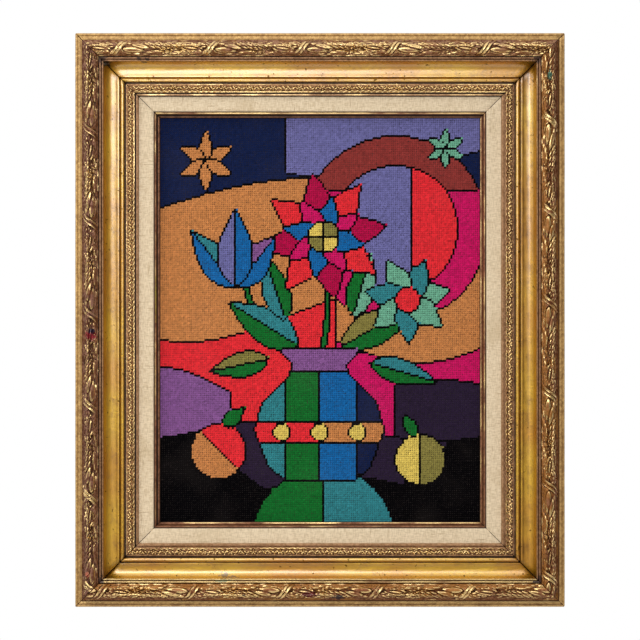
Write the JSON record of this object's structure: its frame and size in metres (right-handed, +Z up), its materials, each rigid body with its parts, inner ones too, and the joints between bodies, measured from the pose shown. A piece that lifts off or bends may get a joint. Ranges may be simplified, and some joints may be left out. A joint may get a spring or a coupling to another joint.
{
  "type": "needlepoint picture in gilt frame",
  "caption": "Upright rectangular needlepoint picture, worked in wool on canvas, in a linen-covered liner with a gilt slip and a deep gilded moulding with leaf and scroll ornament.",
  "frame": {"origin": "on the flat back of the top member, at its middle, where a hanger is screwed on", "axes": "+Z up, along the picture's longer side; +Y into the wall, so that the picture faces -Y; +X to the viewer's right"},
  "size_m": [0.59, 0.045, 0.6917],
  "materials": {
    "gilded_wood": "aged gold leaf over reddish ground, satin, worn dark in the grooves",
    "bronzed_ornament": "pressed ornament, gilt with a brown bronze wash in the hollows",
    "bare_wood": "bare softwood, planed",
    "linen": "natural plain-weave linen with slubs",
    "gilt_slip": "gilt, dulled, dark in the groove",
    "wool": "wool tent stitch in many colours on canvas, black outlines",
    "fibre_board": "plain brown fibre board, matt"
  },
  "bodies": {
    "root": {"moulding_top": "gilded_wood", "moulding_right": "gilded_wood", "moulding_bottom": "gilded_wood", "moulding_left": "gilded_wood", "leaf_strip_top": "bronzed_ornament", "leaf_strip_right": "bronzed_ornament", "leaf_strip_bottom": "bronzed_ornament", "leaf_strip_left": "bronzed_ornament", "scroll_strip_top": "bronzed_ornament", "scroll_strip_right": "bronzed_ornament", "scroll_strip_bottom": "bronzed_ornament", "scroll_strip_left": "bronzed_ornament", "liner_top": "bare_wood", "liner_right": "bare_wood", "liner_bottom": "bare_wood", "liner_left": "bare_wood", "linen_top": "linen", "linen_right": "linen", "linen_bottom": "linen", "linen_left": "linen", "slip_top": "gilt_slip", "slip_right": "gilt_slip", "slip_bottom": "gilt_slip", "slip_left": "gilt_slip", "needlepoint": "wool", "board": "fibre_board"}
  },
  "joints": []
}
